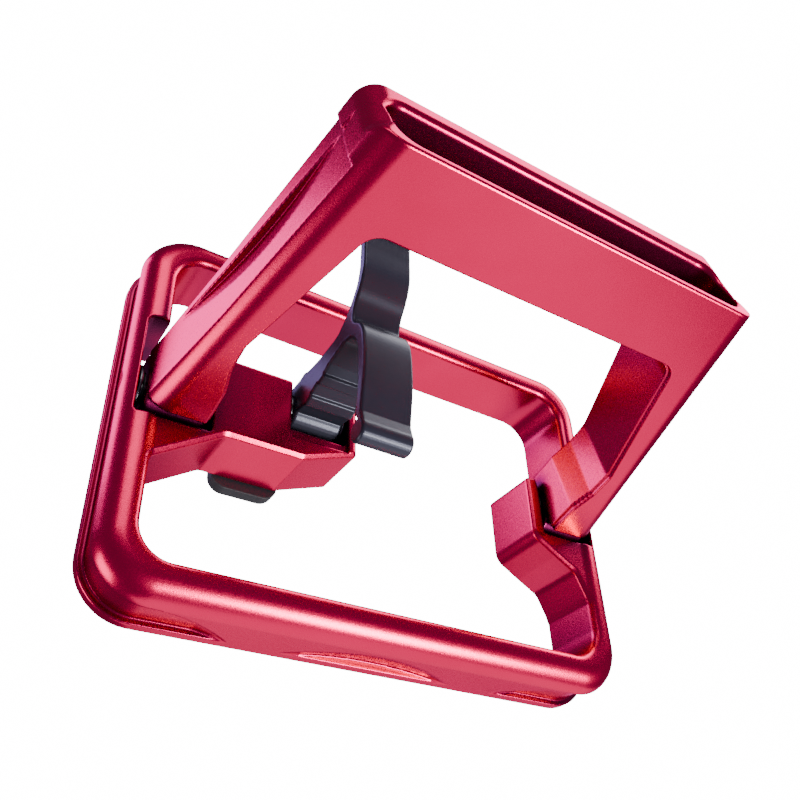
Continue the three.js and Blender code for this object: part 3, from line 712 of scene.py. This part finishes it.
def pad_screw(z0):
    """Cap screw along Y with a hexagon socket."""
    tip = DEPTH + PAD_GAP - SCREW_TIP
    sector = math.pi / 3

    def field(x, y, z):
        r = np.hypot(x - PAD_X, z - z0)
        t = y - tip
        shank = np.maximum(r - SHANK, span(t, 0, SHANK_END))
        cap = round_and(round_and(r - CAP, t - CAP_END, 0.3), CAP_START - t, 0.15)
        angle = np.arctan2(z - z0, x - PAD_X)
        hexagon = r * np.cos((angle + sector / 2) % sector - sector / 2) - HEX_SOCKET
        return cut(np.minimum(shank, cap), np.maximum(hexagon, CAP_START - t), 0.08)
    return field


for node, z0 in PAD_SCREWS.items():
    finish_piece(solid(node + "_cap", pad_screw(z0), *placed(node), SCREW_CELL), node, "main", "steel")

# ---------- hinge and hook hardware ----------
HINGE_RINGS = {        # name: body, slot, bore, outer radius
    "hinge_bush": ("swing", "polymer", 2.3, 3.2),
    "thrust_washer": ("main", "steel", 2.3, 4.6),
    "friction_washer": ("main", "polymer", 2.3, 5.0),
}
HINGE_PIN = 2.0
HOOK_PIN, HOOK_PIN_HEAD, HEAD_LENGTH, HEAD_CHAMFER = 1.5, 2.7, 1.4, (0.4, 0.5)
HOOK_PIN_BORE, HOOK_BUSH, HOOK_WASHER = 1.8, 2.2, 3.4
SPRING_RADIUS, SPRING_WIRE, SPRING_TURNS, SPRING_STEPS = 3.0, 0.4, 4, 40


def ends(node):
    """Left and right end of a CAD node."""
    low, high = placed(node)
    return low[0], high[0]


def turned(node, body, slot, profile, y=HINGE_Y, z=HINGE_Z):
    """A piece turned about an axis along X through y, z, in the place of a CAD node."""
    finish_piece(lathe(node + "_turned", profile, y, z), node, body, slot)


def ring_profile(node, bore, radius):
    """Profile of a plain ring as wide as the CAD node."""
    low, high = ends(node)
    return [(low, bore), (low, radius), (high, radius), (high, bore)]


for side in ("left", "right"):
    for kind, (body, slot, bore, radius) in HINGE_RINGS.items():
        turned(f"{kind}_{side}", body, slot, ring_profile(f"{kind}_{side}", bore, radius))
    for node, slot in ((f"hinge_pin_{side}", "steel"), (f"hinge_plug_{side}", "black_anodised")):
        low, high = ends(node)
        turned(node, "main", slot, [(low, 0), (low, HINGE_PIN), (high, HINGE_PIN), (high, 0)])
low, high = ends("hook_pin")
head, chamfer = high - HEAD_LENGTH, high - HEAD_CHAMFER[0]
turned("hook_pin", "main", "steel",
       [(low, 0), (low, HOOK_PIN), (head, HOOK_PIN), (head, HOOK_PIN_HEAD), (chamfer, HOOK_PIN_HEAD),
        (high, HOOK_PIN_HEAD - HEAD_CHAMFER[1]), (high, 0)], HOOK_Y, HOOK_Z)
turned("hook_bush", "hook", "polymer", ring_profile("hook_bush", HOOK_PIN_BORE, HOOK_BUSH), HOOK_Y, HOOK_Z)
for side in ("left", "right"):
    node = f"hook_washer_{side}"
    turned(node, "main", "steel", ring_profile(node, HOOK_PIN_BORE, HOOK_WASHER), HOOK_Y, HOOK_Z)

low, high = ends("hook_spring")
coil = []
for k in range(SPRING_TURNS * SPRING_STEPS + 1):
    a = 2 * math.pi * k / SPRING_STEPS
    x = low + SPRING_WIRE + (high - low - 2 * SPRING_WIRE) * k / (SPRING_TURNS * SPRING_STEPS)
    coil.append((x, HOOK_Y + SPRING_RADIUS * math.cos(a), HOOK_Z + SPRING_RADIUS * math.sin(a)))
finish_piece(tube("hook_spring_coil", coil, SPRING_WIRE), "hook_spring", "main", "steel")

# ---------- floor, light and camera ----------
FLOOR_Z, FLOOR_SIZE, FLOOR_GLOW = -0.3, 40, 5.0
# What the camera sees beyond the floor, and what the object is lit by from all round.
BACKDROP, BACKDROP_GLOW = (1, 1, 1, 1), 16.0
FILL, FILL_GLOW = (0.75, 0.6, 1.0, 1), 0.2
LENS, SENSOR, CLIP_START = 40.5, 36, 0.005
bpy.ops.mesh.primitive_plane_add(size=FLOOR_SIZE, location=(0, 0, FLOOR_Z))
floor = bpy.context.object
floor.name = "floor"
pale, _ = shader("pale_floor", Base_Color=(0.8, 0.8, 0.81, 1), Roughness=0.7,
                 Emission_Color=(0.97, 0.97, 1.0, 1), Emission_Strength=FLOOR_GLOW)
floor.data.materials.append(pale)
floor.visible_glossy = floor.visible_diffuse = floor.visible_shadow = False

# The camera's view and right hand, and its place in millimetres from the middle of the frame's front.
LOOK = Vector((0.45, 0.665, 0.597)).normalized()
RIGHT = Vector((0.842, -0.539, -0.034))
EYE = Vector((-78.5, -118.5, -92.0))
CENTRE = Vector(MIDDLE * MM)


def softbox(name, direction, distance, size, watts, colour=(1, 1, 1)):
    """A square studio light, seen from the object in that direction and facing it. Distance and size are
    in metres."""
    data = bpy.data.lights.new(name, "AREA")
    data.shape = "SQUARE"
    data.size = size
    data.energy = watts
    data.color = colour
    made = bpy.data.objects.new(name, data)
    away = Vector(direction).normalized()
    made.location = CENTRE + away * distance
    made.rotation_mode = "QUATERNION"
    made.rotation_quaternion = away.to_track_quat("Z", "Y")
    made.visible_camera = False
    bpy.context.scene.collection.objects.link(made)


softbox("table", (0.42, 0.45, -0.79), 0.6, 0.7, 1.75)
softbox("key", (0.45, -0.6, -0.67), 0.5, 0.16, 3.4)
softbox("front", (0.78, -0.24, 0.58), 0.6, 0.24, 1.3)
softbox("overhead", (0.45, -0.2, 0.87), 0.6, 0.3, 1.3)
softbox("left", (-0.66, 0.46, 0.60), 0.25, 0.13, 0.34, (0.58, 0.44, 1.0))
softbox("front_left", (-0.3, -0.72, 0.62), 0.6, 0.34, 1.0)
softbox("low_left", (-0.846, 0.301, -0.44), 0.266, 0.13, 0.24)
softbox("right", (0.75, 0.66, 0.0), 0.6, 0.35, 0.35)

world = bpy.data.worlds.new("studio")
bpy.context.scene.world = world
world.use_nodes = True
tree = world.node_tree
tree.nodes.clear()
out = tree.nodes.new("ShaderNodeOutputWorld")
seen, lit = tree.nodes.new("ShaderNodeBackground"), tree.nodes.new("ShaderNodeBackground")
for node, colour, glow in ((seen, BACKDROP, BACKDROP_GLOW), (lit, FILL, FILL_GLOW)):
    node.inputs["Color"].default_value = colour
    node.inputs["Strength"].default_value = glow
path = tree.nodes.new("ShaderNodeLightPath")
mix = tree.nodes.new("ShaderNodeMixShader")
tree.links.new(path.outputs["Is Camera Ray"], mix.inputs[0])
tree.links.new(lit.outputs[0], mix.inputs[1])
tree.links.new(seen.outputs[0], mix.inputs[2])
tree.links.new(mix.outputs[0], out.inputs[0])

camera_data = bpy.data.cameras.new("camera")
camera_data.lens = LENS
camera_data.sensor_width = SENSOR
camera_data.clip_start = CLIP_START
camera = bpy.data.objects.new("camera", camera_data)
bpy.context.scene.collection.objects.link(camera)
right = (RIGHT - LOOK * RIGHT.dot(LOOK)).normalized()
up = right.cross(LOOK)
turn = Matrix((right, up, -LOOK)).transposed().to_4x4()
camera.matrix_world = Matrix.Translation(CENTRE + EYE * MM) @ turn
bpy.context.scene.camera = camera
